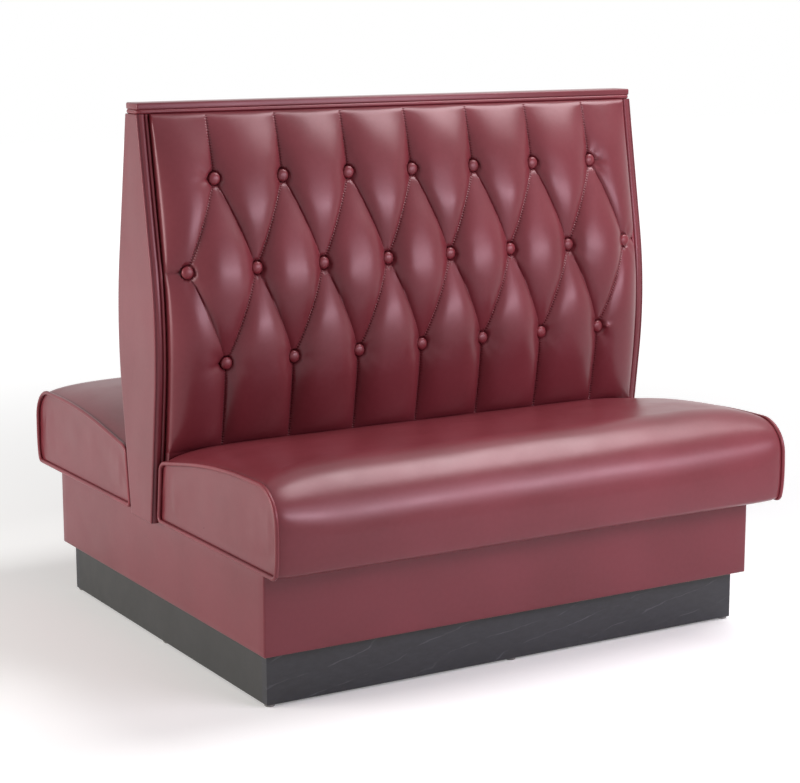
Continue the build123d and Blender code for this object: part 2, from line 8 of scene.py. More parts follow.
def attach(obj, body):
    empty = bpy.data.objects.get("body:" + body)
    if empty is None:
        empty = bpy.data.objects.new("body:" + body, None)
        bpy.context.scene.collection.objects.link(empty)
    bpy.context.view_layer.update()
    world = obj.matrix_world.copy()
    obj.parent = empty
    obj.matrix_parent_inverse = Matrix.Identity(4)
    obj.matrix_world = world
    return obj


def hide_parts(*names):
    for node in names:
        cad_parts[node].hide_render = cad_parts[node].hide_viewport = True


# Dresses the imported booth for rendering. Lengths are millimetres in the frame's
# own axes until makeMesh and makeTube turn them into metres.

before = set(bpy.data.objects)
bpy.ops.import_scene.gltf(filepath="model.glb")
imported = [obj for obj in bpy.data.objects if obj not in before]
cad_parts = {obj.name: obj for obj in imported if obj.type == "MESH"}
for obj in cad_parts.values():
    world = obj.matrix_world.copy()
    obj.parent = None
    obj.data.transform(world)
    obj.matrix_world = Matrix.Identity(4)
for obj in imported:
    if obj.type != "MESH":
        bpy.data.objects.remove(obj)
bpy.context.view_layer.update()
print("frame loaded")


# Colours and material nodes


def toLinear(code):
    channels = [int(code[i : i + 2], 16) / 255 for i in (1, 3, 5)]
    linear = [c / 12.92 if c <= 0.04045 else ((c + 0.055) / 1.055) ** 2.4 for c in channels]
    return (*linear, 1.0)


def addNode(tree, kind, settings=None, inputs=None):
    node = tree.nodes.new(kind)
    for key, value in (settings or {}).items():
        setattr(node, key, value)
    for key, value in (inputs or {}).items():
        if isinstance(value, bpy.types.NodeSocket):
            tree.links.new(value, node.inputs[key])
        else:
            node.inputs[key].default_value = value
    return node


def newMaterial(name):
    material = bpy.data.materials.new(name)
    material.use_nodes = True
    tree = material.node_tree
    tree.nodes.clear()
    surface = addNode(tree, "ShaderNodeBsdfPrincipled")
    addNode(tree, "ShaderNodeOutputMaterial", None, {"Surface": surface.outputs[0]})
    place = addNode(tree, "ShaderNodeTexCoord").outputs["Object"]
    return material, tree, surface, place


def noiseValue(tree, place, millimetres, detail=2.0, roughness=0.5):
    values = {"Vector": place, "Scale": 1000 / millimetres}
    values |= {"Detail": detail, "Roughness": roughness}
    return addNode(tree, "ShaderNodeTexNoise", None, values).outputs["Fac"]


def remap(tree, value, low, high, source=(0.3, 0.7), soft=False):
    shape = {"interpolation_type": "SMOOTHSTEP" if soft else "LINEAR"}
    values = {"Value": value, "From Min": source[0], "From Max": source[1]}
    values |= {"To Min": low, "To Max": high}
    return addNode(tree, "ShaderNodeMapRange", shape, values).outputs["Result"]


def mixColours(tree, share, first, second):
    # sockets 0, 6 and 7 are the factor and the two colours
    sockets = {0: share, 6: first, 7: second}
    return addNode(tree, "ShaderNodeMix", {"data_type": "RGBA"}, sockets).outputs[2]


def calculate(tree, operation, *values):
    settings = {"operation": operation}
    return addNode(tree, "ShaderNodeMath", settings, dict(enumerate(values))).outputs[0]


def bumpFrom(tree, height, strength, millimetres, normal=None):
    inputs = {"Height": height, "Strength": strength, "Distance": millimetres / 1000}
    if normal is not None:
        inputs["Normal"] = normal
    return addNode(tree, "ShaderNodeBump", None, inputs).outputs["Normal"]


vinylLook = {
    "colour": "#6f2b33",
    "darker": "#622329",
    "pale": "#7e3841",
    "roughness": (0.27, 0.35),
    "specular": 0.45,
    "coatTint": "#ffe3ea",
    "cloudSize": 170.0,
    "fleckSize": 9.0,
    "fleckShare": 0.2,
    "shineSize": 60.0,
    "grain": 1.3,  # real pebble size, so fine that it only softens the sheen
    "grainDepth": 0.02,
    "creaseSize": 16.0,
    "creaseDepth": 0.1,
}


def vinyl(name, look, stitched=False):
    # upholstery vinyl, calendered on cloth and embossed: a soft satin sheen over
    # fine pebbles, in a colour that clouds and flecks faintly
    material, tree, surface, place = newMaterial(name)
    wide = (0.1, 0.9)
    clouds = noiseValue(tree, place, look["cloudSize"], 1.5, 0.4)
    cloud = remap(tree, clouds, 0.0, 1.0, wide, True)
    colour = mixColours(tree, cloud, toLinear(look["colour"]), toLinear(look["darker"]))
    flecks = noiseValue(tree, place, look["fleckSize"], 1.0)
    fleck = remap(tree, flecks, 0.0, look["fleckShare"], (0.0, 1.0), True)
    colour = mixColours(tree, fleck, colour, toLinear(look["pale"]))
    tree.links.new(colour, surface.inputs["Base Color"])
    shines = noiseValue(tree, place, look["shineSize"], 2.0)
    shine = remap(tree, shines, *look["roughness"], wide, True)
    tree.links.new(shine, surface.inputs["Roughness"])
    surface.inputs["Specular IOR Level"].default_value = look["specular"]
    surface.inputs["Specular Tint"].default_value = toLinear(look["coatTint"])
    cells = {"Vector": place, "Scale": 1000 / look["grain"]}
    pebbles = addNode(tree, "ShaderNodeTexVoronoi", None, cells).outputs["Distance"]
    grain = bumpFrom(tree, pebbles, 0.35, look["grainDepth"])
    creases = noiseValue(tree, place, look["creaseSize"], 2.0)
    normal = bumpFrom(tree, creases, 0.5, look["creaseDepth"], grain)
    if stitched:
        normal = stitchBump(tree, normal)
    tree.links.new(normal, surface.inputs["Normal"])
    return material


stitchLook = {"pitch": 5.2, "reach": 2.6, "depth": 0.7}


def stitchBump(tree, normal):
    # puckers along the sewn pleats, from the distance and run stored on the mesh
    far = addNode(tree, "ShaderNodeAttribute", {"attribute_name": "pleatDistance"}).outputs["Fac"]
    run = addNode(tree, "ShaderNodeAttribute", {"attribute_name": "pleatRun"}).outputs["Fac"]
    phase = calculate(tree, "MULTIPLY", run, 2 * math.pi / stitchLook["pitch"])
    wave = calculate(tree, "SINE", phase)
    near = calculate(tree, "DIVIDE", far, stitchLook["reach"])
    squared = calculate(tree, "MULTIPLY", near, near)
    fade = calculate(tree, "EXPONENT", calculate(tree, "MULTIPLY", squared, -1.0))
    height = calculate(tree, "MULTIPLY", wave, fade)
    return bumpFrom(tree, height, 1.0, stitchLook["depth"], normal)


laminateLook = {
    "colour": "#29292c",
    "vein": "#4b4b50",
    "cloud": "#303034",
    "speck": "#3a3a3f",
    "sideColour": "#2d2d2c",
    "slant": 31,
    "stretch": 0.36,
    "cloudSize": 120.0,
    "speckSize": 9.0,
    "veinGap": 36.0,
    "veinBreak": 45.0,
    "roughness": (0.42, 0.56),
    "specular": 0.4,
    "pitSize": 2.4,
    "pitDepth": 0.2,
}


def laminate(name, look, veined):
    # black slate-look laminate, pressed matt: fine slanting veins and a cloudy
    # ground on the long faces, plain on the ends
    material, tree, surface, place = newMaterial(name)
    turn = {"Rotation": (0.0, math.radians(look["slant"]), 0.0)}
    turn["Scale"] = (look["stretch"], 1.0, 1.0)
    mapping = addNode(tree, "ShaderNodeMapping", None, {"Vector": place, **turn})
    slanted = mapping.outputs["Vector"]
    clouds = noiseValue(tree, slanted, look["cloudSize"], 6.0, 0.66)
    colour = toLinear(look["sideColour"])
    if veined:
        cloud = remap(tree, clouds, 0.0, 1.0)
        colour = mixColours(tree, cloud, toLinear(look["colour"]), toLinear(look["cloud"]))
        specks = noiseValue(tree, slanted, look["speckSize"], 4.0, 0.75)
        speck = remap(tree, specks, 0.0, 0.5, (0.4, 0.7))
        colour = mixColours(tree, speck, colour, toLinear(look["speck"]))
        waves = {"Vector": slanted, "Scale": 314 / look["veinGap"]}  # scale 1 repeats at 314 mm
        waves |= {"Distortion": 5.0, "Detail": 4.0, "Detail Scale": 1.4}
        bands = addNode(tree, "ShaderNodeTexWave", {"bands_direction": "Z"}, waves)
        line = remap(tree, bands.outputs["Fac"], 0.0, 0.9, (0.99, 1.0))
        gaps = noiseValue(tree, place, look["veinBreak"], 3.0)
        broken = remap(tree, gaps, 0.0, 1.0, (0.42, 0.6))
        vein = calculate(tree, "MULTIPLY", line, broken)
        colour = mixColours(tree, vein, colour, toLinear(look["vein"]))
        tree.links.new(colour, surface.inputs["Base Color"])
    else:
        surface.inputs["Base Color"].default_value = colour
    tree.links.new(remap(tree, clouds, *look["roughness"]), surface.inputs["Roughness"])
    surface.inputs["Specular IOR Level"].default_value = look["specular"]
    pits = noiseValue(tree, place, look["pitSize"], 4.0, 0.7)
    tree.links.new(bumpFrom(tree, pits, 0.35, look["pitDepth"]), surface.inputs["Normal"])
    return material


plywoodLook = {"face": "#c79a63", "ring": "#a87844", "ringSize": 26.0}
softwoodLook = {"face": "#cfa873", "ring": "#b07f48", "ringSize": 14.0}


def plywood(name, look):
    # peeled birch plywood or sawn pine, left raw: pale and matt, with rings drawn
    # out along the board, seen when a seat is lifted
    material, tree, surface, place = newMaterial(name)
    turn = {"Vector": place, "Scale": (0.16, 1.0, 1.0)}
    stretched = addNode(tree, "ShaderNodeMapping", None, turn).outputs["Vector"]
    rings = noiseValue(tree, stretched, look["ringSize"], 5.0, 0.6)
    ring = remap(tree, rings, 0.0, 1.0)
    colour = mixColours(tree, ring, toLinear(look["face"]), toLinear(look["ring"]))
    tree.links.new(colour, surface.inputs["Base Color"])
    surface.inputs["Roughness"].default_value = 0.62
    tree.links.new(bumpFrom(tree, rings, 0.3, 0.3), surface.inputs["Normal"])
    return material


foamLook = {"colour": "#d9cfae", "fleck": "#b8a980", "size": 1.6, "roughness": 0.9, "depth": 0.6}
feltLook = {"colour": "#4a4643", "fleck": "#6a6561", "size": 0.8, "roughness": 0.95, "depth": 0.5}
nylonLook = {"colour": "#8d8b88", "fleck": "#6d6b69", "size": 4.0, "roughness": 0.4, "depth": 0.1}
steelLook = {"colour": "#9fa2a6", "tint": "#8a8570", "size": 3.0, "roughness": (0.28, 0.42)}


def speckled(name, look):
    # cut foam shows its pores, pressed felt its fibres and moulded nylon its scuffs
    material, tree, surface, place = newMaterial(name)
    spots = noiseValue(tree, place, look["size"], 5.0, 0.7)
    fleck = remap(tree, spots, 0.0, 1.0)
    colour = mixColours(tree, fleck, toLinear(look["colour"]), toLinear(look["fleck"]))
    tree.links.new(colour, surface.inputs["Base Color"])
    surface.inputs["Roughness"].default_value = look["roughness"]
    tree.links.new(bumpFrom(tree, spots, 0.7, look["depth"]), surface.inputs["Normal"])
    return material


def zincSteel(name, look):
    # zinc plated steel screws: bright grey with a faint yellow cast in spots
    material, tree, surface, place = newMaterial(name)
    spots = noiseValue(tree, place, look["size"], 4.0)
    spot = remap(tree, spots, 0.0, 0.6)
    colour = mixColours(tree, spot, toLinear(look["colour"]), toLinear(look["tint"]))
    tree.links.new(colour, surface.inputs["Base Color"])
    surface.inputs["Metallic"].default_value = 1.0
    tree.links.new(remap(tree, spots, *look["roughness"]), surface.inputs["Roughness"])
    return material


weltLook = {**vinylLook, "colour": "#7c2831", "roughness": (0.3, 0.38)}
buttonLook = {**vinylLook, "colour": "#7d2a33", "roughness": (0.28, 0.36)}
vinylMaterial = vinyl("burgundyVinyl", vinylLook)
tuftedMaterial = vinyl("burgundyTuftedVinyl", vinylLook, True)
weltMaterial = vinyl("burgundyWeltVinyl", weltLook)
buttonMaterial = vinyl("burgundyButtonVinyl", buttonLook)
slateMaterial = laminate("slateLaminate", laminateLook, True)
slateEndMaterial = laminate("slateLaminateEnds", laminateLook, False)
plywoodMaterial = plywood("birchPlywood", plywoodLook)
softwoodMaterial = plywood("pineSoftwood", softwoodLook)
foamMaterial = speckled("seatFoam", foamLook)
feltMaterial = speckled("greyFelt", feltLook)
nylonMaterial = speckled("glideNylon", nylonLook)
steelMaterial = zincSteel("zincSteel", steelLook)
print("materials made")


# Meshes


def showMesh(name, mesh, material):
    mesh.materials.append(material)
    mesh.polygons.foreach_set("use_smooth", [True] * len(mesh.polygons))
    piece = bpy.data.objects.new(name, mesh)
    bpy.context.scene.collection.objects.link(piece)
    return piece


def makeMesh(name, points, faces, material):
    mesh = bpy.data.meshes.new(name)
    mesh.from_pydata((np.asarray(points, float) / 1000).tolist(), [], faces)
    return showMesh(name, mesh, material)


def gridFaces(rows, columns, first=0, closed=False, turned=False):
    # quads between rows of points; closed joins the last column to the first
    faces = []
    for i in range(rows - 1):
        for j in range(columns if closed else columns - 1):
            k = (j + 1) % columns
            quad = [first + i * columns + j, first + i * columns + k]
            quad += [first + (i + 1) * columns + k, first + (i + 1) * columns + j]
            faces.append(quad[::-1] if turned else quad)
    return faces


def makeTube(name, points, radius, closed, material):
    curve = bpy.data.curves.new(name, "CURVE")
    curve.dimensions = "3D"
    curve.bevel_depth = radius / 1000
    curve.bevel_resolution = 3
    curve.use_fill_caps = True
    spline = curve.splines.new("POLY")
    spline.points.add(len(points) - 1)
    places = np.hstack([np.array(points, float) / 1000, np.ones((len(points), 1))])
    spline.points.foreach_set("co", places.ravel())
    spline.use_cyclic_u = closed
    spline.use_smooth = True
    curve.materials.append(material)
    piece = bpy.data.objects.new(name, curve)
    bpy.context.scene.collection.objects.link(piece)
    return piece


def dress(piece, body, slotName, *nodes):
    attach(piece, body)
    if nodes:
        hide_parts(*nodes)
    return piece


def roundedLine(corners, radii, closed, arcSteps=8, straightSteps=8):
    # points along straight runs joined by arcs, the same count for any sizes
    count = len(corners)
    points = [np.array(c, float) for c in corners]
    arcs = []
    for i, point in enumerate(points):
        if not closed and i in (0, count - 1):
            arcs.append([point])
            continue
        before = points[i - 1] - point
        after = points[(i + 1) % count] - point
        before = before / np.linalg.norm(before)
        after = after / np.linalg.norm(after)
        half = math.acos(max(-1.0, min(1.0, float(before @ after)))) / 2
        start = point + before * radii[i] / math.tan(half)
        middle = before + after
        centre = point + middle / np.linalg.norm(middle) * radii[i] / math.sin(half)
        turn = math.pi - 2 * half
        arm = start - centre
        side = 1 if before[0] * after[1] - before[1] * after[0] < 0 else -1
        arc = []
        for k in range(arcSteps + 1):
            angle = side * turn * k / arcSteps
            cosine, sine = math.cos(angle), math.sin(angle)
            swing = (arm[0] * cosine - arm[1] * sine, arm[0] * sine + arm[1] * cosine)
            arc.append(centre + np.array(swing))
        arcs.append(arc)
    line = []
    for i, arc in enumerate(arcs):
        line += arc
        if closed or i < count - 1:
            target = arcs[(i + 1) % count][0]
            for k in range(1, straightSteps):
                line.append(arc[-1] + (target - arc[-1]) * k / straightSteps)
    return np.array(line)


# Outlines in section, as (depth from the middle, height): the back's face and its
# bent board, which pads, welts and end panels share, and the seats

backLine = {"foot": (48.0, 260.0), "bend": (96.0, 638.85), "top": (26.0, 1046.0), "radius": 880.0}
boardLine = {"foot": (34.0, 260.0), "bend": (62.0, 638.85), "top": (16.0, 1046.0), "radius": 880.0}
seatSize = {
    "bottom": 267.0,
    "rearHeight": 390.0,
    "frontHeight": 432.0,
    "rearFoot": 66.0,
    "rearTop": 80.5,
    "knee": 327.0,
    "front": 562.0,
    "frontFoot": 554.0,
    "crown": 21.0,
    "bulge": 9.0,
    "half": 562.0,
    "weltRadius": 3.5,
    "radii": (12.0, 25.0, 1475.0, 60.0, 12.0),
    "frontSoftening": 45.0,
}


def depthAt(line, heights):
    foot, bend, top = line["foot"], line["bend"], line["top"]
    heights = np.asarray(heights, float)
    low = math.atan2(bend[0] - foot[0], bend[1] - foot[1])
    high = math.atan2(bend[0] - top[0], top[1] - bend[1])
    radius = line["radius"]
    reach = radius * math.tan((low + high) / 2)
    out = radius / math.cos((low + high) / 2)
    tilt = (high - low) / 2
    centreDepth = bend[0] - out * math.cos(tilt)
    centreHeight = bend[1] - out * math.sin(tilt)
    rounded = centreDepth + np.sqrt(np.maximum(radius**2 - (heights - centreHeight) ** 2, 0))
    below = bend[0] - (bend[1] - heights) * math.tan(low)
    above = bend[0] - (heights - bend[1]) * math.tan(high)
    depth = np.where(heights <= bend[1] - reach * math.cos(low), below, rounded)
    return np.where(heights >= bend[1] + reach * math.cos(high), above, depth)


def seatRearDepth(height):
    size = seatSize
    lean = (size["rearTop"] - size["rearFoot"]) / (size["rearHeight"] - size["bottom"])
    return size["rearFoot"] + lean * (height - size["bottom"])


# Tufted pads: a grid for every field between the sewn pleats, joined along them,
# then puffed like a skin over foam that the pleats, buttons and edges hold down

tuftSize = {
    "topRow": 923.0,
    "middleRow": 751.0,
    "bottomRow": 573.0,
    "pitch": 146.0,
    "halfWidth": 549.0,
    "rollHeight": 402.4,
    "footHeight": 285.0,
    "seatGap": 1.5,
    "buttonProud": 20.0,
    "pleatRise": 12.0,
    "pleatArch": 2.4,
    "outerRise": 2.0,
    "sideProud": 11.0,
    "notchProud": 3.0,
    "notchReach": 12.0,
    "topProud": 11.0,
    "topCalm": 130.0,
    "topLoad": 0.15,
    "dimple": 0.42,
    "dimpleReach": 28.0,
    "crest": 35.0,
    "slack": 1400.0,
    "lengthwise": 1.5,
    "outerLoad": 0.75,
    "steps": 32,
}
foldSize = {
    "groove": 1.6,
    "grooveReach": 1.3,
    "lip": 3.0,
    "lipReach": 4.5,
    "tuck": 2.2,
    "tuckReach": 4.0,
    "foldStart": 9.0,
    "foldFade": 22.0,
    "pocket": 7.0,
    "pocketFloor": 13.2,
    "pocketLip": 14.9,
    "pocketGather": (3.2, 4.8),
    "wrinkle": 0.55,
    "wrinkleStart": (14.0, 8.0),
    "wrinkleFade": (18.0, 20.0),
    "edgeRoll": 5.0,
    "edgeDrop": 6.0,
    "edgeFade": 40.0,
    "topRoll": 9.0,
    "topDrop": 8.5,
    "topHold": 14.0,
    "footHold": 20.0,
    "drift": 1.6,
    "driftSize": 95.0,
    "driftFade": 30.0,
}


def rowPlaces(count):
    return [(i - (count - 1) / 2) * tuftSize["pitch"] for i in range(count)]


def rollProud():
    z = tuftSize["rollHeight"]
    return seatRearDepth(z) - tuftSize["seatGap"] - float(depthAt(backLine, z))


def tuftQuads():
    # corners of each field as (across, height), all turning the same way
    size = tuftSize
    outer, middle, z = rowPlaces(7), rowPlaces(8), size["middleRow"]
    quads = []
    for i, x in enumerate(outer):
        top, bottom = (x, size["topRow"]), (x, size["bottomRow"])
        quads.append([(middle[i], z), bottom, (middle[i + 1], z), top])
    upper = (size["topRow"], backLine["top"][1])
    lower = (size["bottomRow"], size["rollHeight"])
    for row, edge in (upper, lower):
        for i, peak in enumerate(middle[1:-1]):
            for x in outer[i : i + 2]:
                quads.append([(peak, z), (x, row), (x, edge), (peak, edge)])
        for side, x, last in ((-1, outer[0], middle[0]), (1, outer[-1], middle[-1])):
            rim = side * size["halfWidth"]
            quads.append([(rim, row), (x, row), (x, edge), (rim, edge)])
            quads.append([(rim, z), (last, z), (x, row), (rim, row)])
    return [quad if areaOf(quad) > 0 else quad[::-1] for quad in quads]


def areaOf(corners):
    pairs = zip(corners, corners[1:] + corners[:1])
    return sum(a[0] * b[1] - b[0] * a[1] for a, b in pairs)


def denserEnds(count, even):
    # shares from 0 to 1 that draw together at both ends; even is the part that doesn't
    share = np.linspace(0, 1, count)
    return even * share + (1 - even) * (0.5 - 0.5 * np.cos(math.pi * share))


def tuftGrid():
    # welded points across the pad and the quads between them
    steps = tuftSize["steps"]
    share = denserEnds(steps + 1, 0.2)
    u, v = np.meshgrid(share, share, indexing="ij")
    u, v = u[..., None], v[..., None]
    grids, quads = [], []
    for k, quad in enumerate(tuftQuads()):
        a, b, c, d = [np.array(corner) for corner in quad]
        grid = (1 - u) * (a + (d - a) * v) + u * (b + (c - b) * v)
        grids.append(grid.reshape(-1, 2))
        quads += gridFaces(steps + 1, steps + 1, k * (steps + 1) ** 2, False, True)
    flat = np.concatenate(grids)
    cells = np.round(flat * 20 + 0.123)  # points within a 0.05 mm cell are one
    _, first, index = np.unique(cells, axis=0, return_index=True, return_inverse=True)
    return flat[first], index.reshape(-1)[np.array(quads)]


def pleatLines():
    # sewn pleats: both ends, how proud each is, the rise between and how it is sewn
    size = tuftSize
    proud, rise, outerRise = size["buttonProud"], size["pleatRise"], size["outerRise"]
    middle, z = rowPlaces(8), size["middleRow"]
    lines = []
    for i, x in enumerate(rowPlaces(7)):
        left, right = (middle[i], z), (middle[i + 1], z)
        top, bottom = (x, size["topRow"]), (x, size["bottomRow"])
        lines.append((left, top, proud, proud, rise, "stitched"))
        lines.append((bottom, right, proud, proud, rise, "stitched"))
        lines.append((top, right, proud, proud, rise, "folded"))
        lines.append((left, bottom, proud, proud, rise, "folded"))
        above, below = (x, backLine["top"][1]), (x, size["rollHeight"])
        lines.append((top, above, proud, size["topProud"], outerRise, "stitched"))
        lines.append((bottom, below, proud, rollProud(), outerRise, "stitched"))
    for side, x in ((-1, middle[0]), (1, middle[-1])):
        rim = (side * size["halfWidth"], z)
        lines.append(((x, z), rim, proud, size["notchProud"], outerRise, "tuck"))
    return lines


def followPleats(points):
    # per point: distance to the nearest pleat, its side, the run along it, the
    # height of the pleat there and how it is sewn
    x, z = points.T
    best = np.full(x.shape, 1e9)
    keys = ("side", "run", "end", "height", "stitched", "folded")
    found = {key: np.zeros(x.shape) for key in keys}
    for a, b, lowProud, highProud, rise, sewn in pleatLines():
        length = math.dist(a, b)
        way = ((b[0] - a[0]) / length, (b[1] - a[1]) / length)
        share = np.clip(((x - a[0]) * way[0] + (z - a[1]) * way[1]) / length, 0, 1)
        across = (x - a[0]) * way[1] - (z - a[1]) * way[0]
        far = np.hypot(x - a[0] - share * (b[0] - a[0]), z - a[1] - share * (b[1] - a[1]))
        arch = 1 - np.abs(2 * share - 1) ** tuftSize["pleatArch"]
        height = lowProud + (highProud - lowProud) * share + rise * arch
        values = {
            "side": np.sign(across) * (1 if way[1] > 0 else -1),
            "run": share * length,
            "end": np.minimum(share, 1 - share) * length,
            "height": height,
            "stitched": np.full(x.shape, float(sewn == "stitched")),
            "folded": np.full(x.shape, float(sewn == "folded")),
        }
        closer = far < best
        best = np.where(closer, far, best)
        for key, value in values.items():
            found[key] = np.where(closer, value, found[key])
    return best, found


def stretch(points, quads, held, heights, load):
    # steady skin over held points: cotangent weights, solved by conjugate gradients
    triangles = np.concatenate([quads[:, [0, 1, 2]], quads[:, [0, 2, 3]]])
    count = len(points)
    starts, ends, weights = [], [], []
    area = np.zeros(count)
    for k in range(3):
        a, b, c = triangles[:, k], triangles[:, (k + 1) % 3], triangles[:, (k + 2) % 3]
        u, v = points[b] - points[a], points[c] - points[a]
        twice = np.abs(u[:, 0] * v[:, 1] - u[:, 1] * v[:, 0])
        starts.append(b)
        ends.append(c)
        weights.append(0.5 * (u * v).sum(1) / np.maximum(twice, 1e-9))
        area += np.bincount(a, twice / 6, count)
    i, j, w = np.concatenate(starts), np.concatenate(ends), np.concatenate(weights)
    whole = np.bincount(i, w, count) + np.bincount(j, w, count)

    def pull(h):
        return whole * h - np.bincount(i, w * h[j], count) - np.bincount(j, w * h[i], count)

    free = ~held
    solved = np.where(held, heights, 0.0)
    rest = np.where(free, load * area - pull(solved), 0.0)
    scale = np.where(free, 1 / np.maximum(whole, 1e-9), 0.0)
    step = scale * rest
    before = rest @ step
    for _ in range(900):
        moved = np.where(free, pull(step), 0.0)
        share = before / (step @ moved)
        solved += share * step
        rest -= share * moved
        ready = scale * rest
        now = rest @ ready
        if now < 1e-10 * max(1.0, before):
            break
        step = ready + now / before * step
        before = now
    return solved


def buttonPlaces():
    size = tuftSize
    rows = ((7, size["topRow"]), (8, size["middleRow"]), (7, size["bottomRow"]))
    return [(x, z) for count, z in rows for x in rowPlaces(count)]


def smoothStep(value):
    value = np.clip(value, 0, 1)
    return value * value * (3 - 2 * value)


def sideEdgeProud(z):
    # the pad's side edges: level, notched at the middle row, running down to the roll
    size = tuftSize
    notch = np.exp(-(((z - size["middleRow"]) / size["notchReach"]) ** 2))
    level = size["sideProud"] - (size["sideProud"] - size["notchProud"]) * notch
    drop = size["bottomRow"] - size["rollHeight"]
    low = np.clip((size["bottomRow"] - z) / drop, 0, 1)
    return level * (1 - low) + rollProud() * low


def skinHeights(points, quads, far, found):
    # proud of the back line: the pleats' own line, then the puff between them
    size = tuftSize
    x, z = points.T
    near = 0.05
    rim = np.abs(np.abs(x) - size["halfWidth"]) < near
    top = np.abs(z - backLine["top"][1]) < near
    low = np.abs(z - size["rollHeight"]) < near
    heights = np.where(far < near, found["height"], 0.0)
    heights = np.where(rim, sideEdgeProud(z), heights)
    heights = np.where(top, size["topProud"], np.where(low, rollProud(), heights))
    held = (far < near) | rim | top | low
    between = stretch(points, quads, held, heights, 0.0)
    load = np.ones(len(points))
    slope = (size["topRow"] - size["middleRow"]) / (size["pitch"] / 2)
    fromPeak = np.abs((x / size["pitch"]) % 1 - 0.5) * size["pitch"]
    for side in (-1, 1):
        # fields beyond the diamonds carry less
        reach = size["middleRow"] + side * (slope * (size["pitch"] / 2 - fromPeak))
        load = np.where(side * (z - reach) > 0, size["outerLoad"], load)
    calm = smoothStep((backLine["top"][1] - z) / size["topCalm"])
    load *= size["topLoad"] + (1 - size["topLoad"]) * calm
    drawn = points * (1.0, size["lengthwise"])
    puff = stretch(drawn, quads, held, np.zeros(len(points)), load)
    for bx, bz in buttonPlaces():
        dimple = np.exp(-((x - bx) ** 2 + (z - bz) ** 2) / size["dimpleReach"] ** 2)
        puff *= 1 - size["dimple"] * dimple
    return between + size["crest"] * (1 - np.exp(-np.maximum(puff, 0) / size["slack"]))


def sewnDetail(points, far, found, seed):
    # grooves, folded lips, button pockets with soft creases, and rolled side edges
    size = foldSize
    x, z = points.T
    fromTop = backLine["top"][1] - z
    held = smoothStep((found["end"] - size["foldStart"]) / size["foldFade"])
    height = -size["groove"] * np.exp(-far / size["grooveReach"])
    lip = size["lip"] * np.exp(-far / size["lipReach"])
    tuck = -size["tuck"] * np.exp(-far / size["tuckReach"])
    fold = np.where(found["side"] < 0, lip, np.where(found["side"] > 0, tuck, 0))
    height += held * found["folded"] * fold
    random = np.random.default_rng(seed)
    start, grow = size["wrinkleStart"]
    full, fall = size["wrinkleFade"]
    for bx, bz in buttonPlaces():
        radius = np.hypot(x - bx, z - bz)
        angle = np.arctan2(z - bz, x - bx)
        folds = random.integers(5, 9)
        phase, twist = random.uniform(0, 2 * math.pi, 2)
        ripple = np.cos(folds * angle + phase) + 0.6 * np.cos((folds + 3) * angle + twist)
        fade = smoothStep((radius - start) / grow) * np.exp(-np.maximum(radius - full, 0) / fall)
        height += size["wrinkle"] * ripple * fade
        height -= size["pocket"] * (radius < size["pocketFloor"] + 0.1)
    roll = np.clip(1 - (tuftSize["halfWidth"] - np.abs(x)) / size["edgeRoll"], 0, 1)
    edgeFade = np.clip(fromTop / size["edgeFade"], 0, 1)
    height -= size["edgeDrop"] * (1 - np.sqrt(1 - roll**2)) * edgeFade
    wide = size["driftSize"]
    drift = [noise.noise((px / wide + seed, pz / wide, 0)) for px, pz in zip(x, z)]
    height += size["drift"] * np.array(drift) * np.clip(far / size["driftFade"], 0, 1)
    hold = np.clip(fromTop / size["topHold"], 0, 1)
    hold *= np.clip((z - tuftSize["rollHeight"]) / size["footHold"], 0, 1)
    roll = np.clip(1 - fromTop / size["topRoll"], 0, 1)
    return height * hold - size["topDrop"] * (1 - np.sqrt(1 - roll**2))


def roundPockets(points):
    # gathers the grid on two rings round each button, so its pocket has a crisp wall
    floor, lip = foldSize["pocketFloor"], foldSize["pocketLip"]
    inside, outside = foldSize["pocketGather"]
    split = (floor + lip) / 2
    points = points.copy()
    for place in buttonPlaces():
        arm = points - np.array(place)
        radius = np.maximum(np.hypot(*arm.T), 1e-6)
        inner = (radius > split - inside) & (radius <= split)
        outer = (radius > split) & (radius < split + outside)
        ring = np.where(inner, floor, np.where(outer, lip, radius))
        points = np.array(place) + arm * (ring / radius)[:, None]
    return points


def tuftedPad(name, side, seed):
    # side is -1 for the front pad and 1 for the rear one, which is turned round
    points, quads = tuftGrid()
    points = roundPockets(points)
    far, found = followPleats(points)
    proud = skinHeights(points, quads, far, found) + sewnDetail(points, far, found, seed)
    depth = depthAt(backLine, points[:, 1]) + proud
    places = np.stack([-side * points[:, 0], side * depth, points[:, 1]], 1)
    pad = makeMesh(name, places, quads.tolist(), tuftedMaterial)
    sewn = np.where(found["stitched"] > 0, far, 40.0)  # 40 mm is past any pucker
    for label, values in (("pleatDistance", sewn), ("pleatRun", found["run"])):
        attribute = pad.data.attributes.new(label, "FLOAT", "POINT")
        attribute.data.foreach_set("value", values.astype(np.float32))
    sheet = bmesh.new()
    sheet.from_mesh(pad.data)
    closePad(sheet, side)
    sheet.to_mesh(pad.data)
    sheet.free()
    return pad


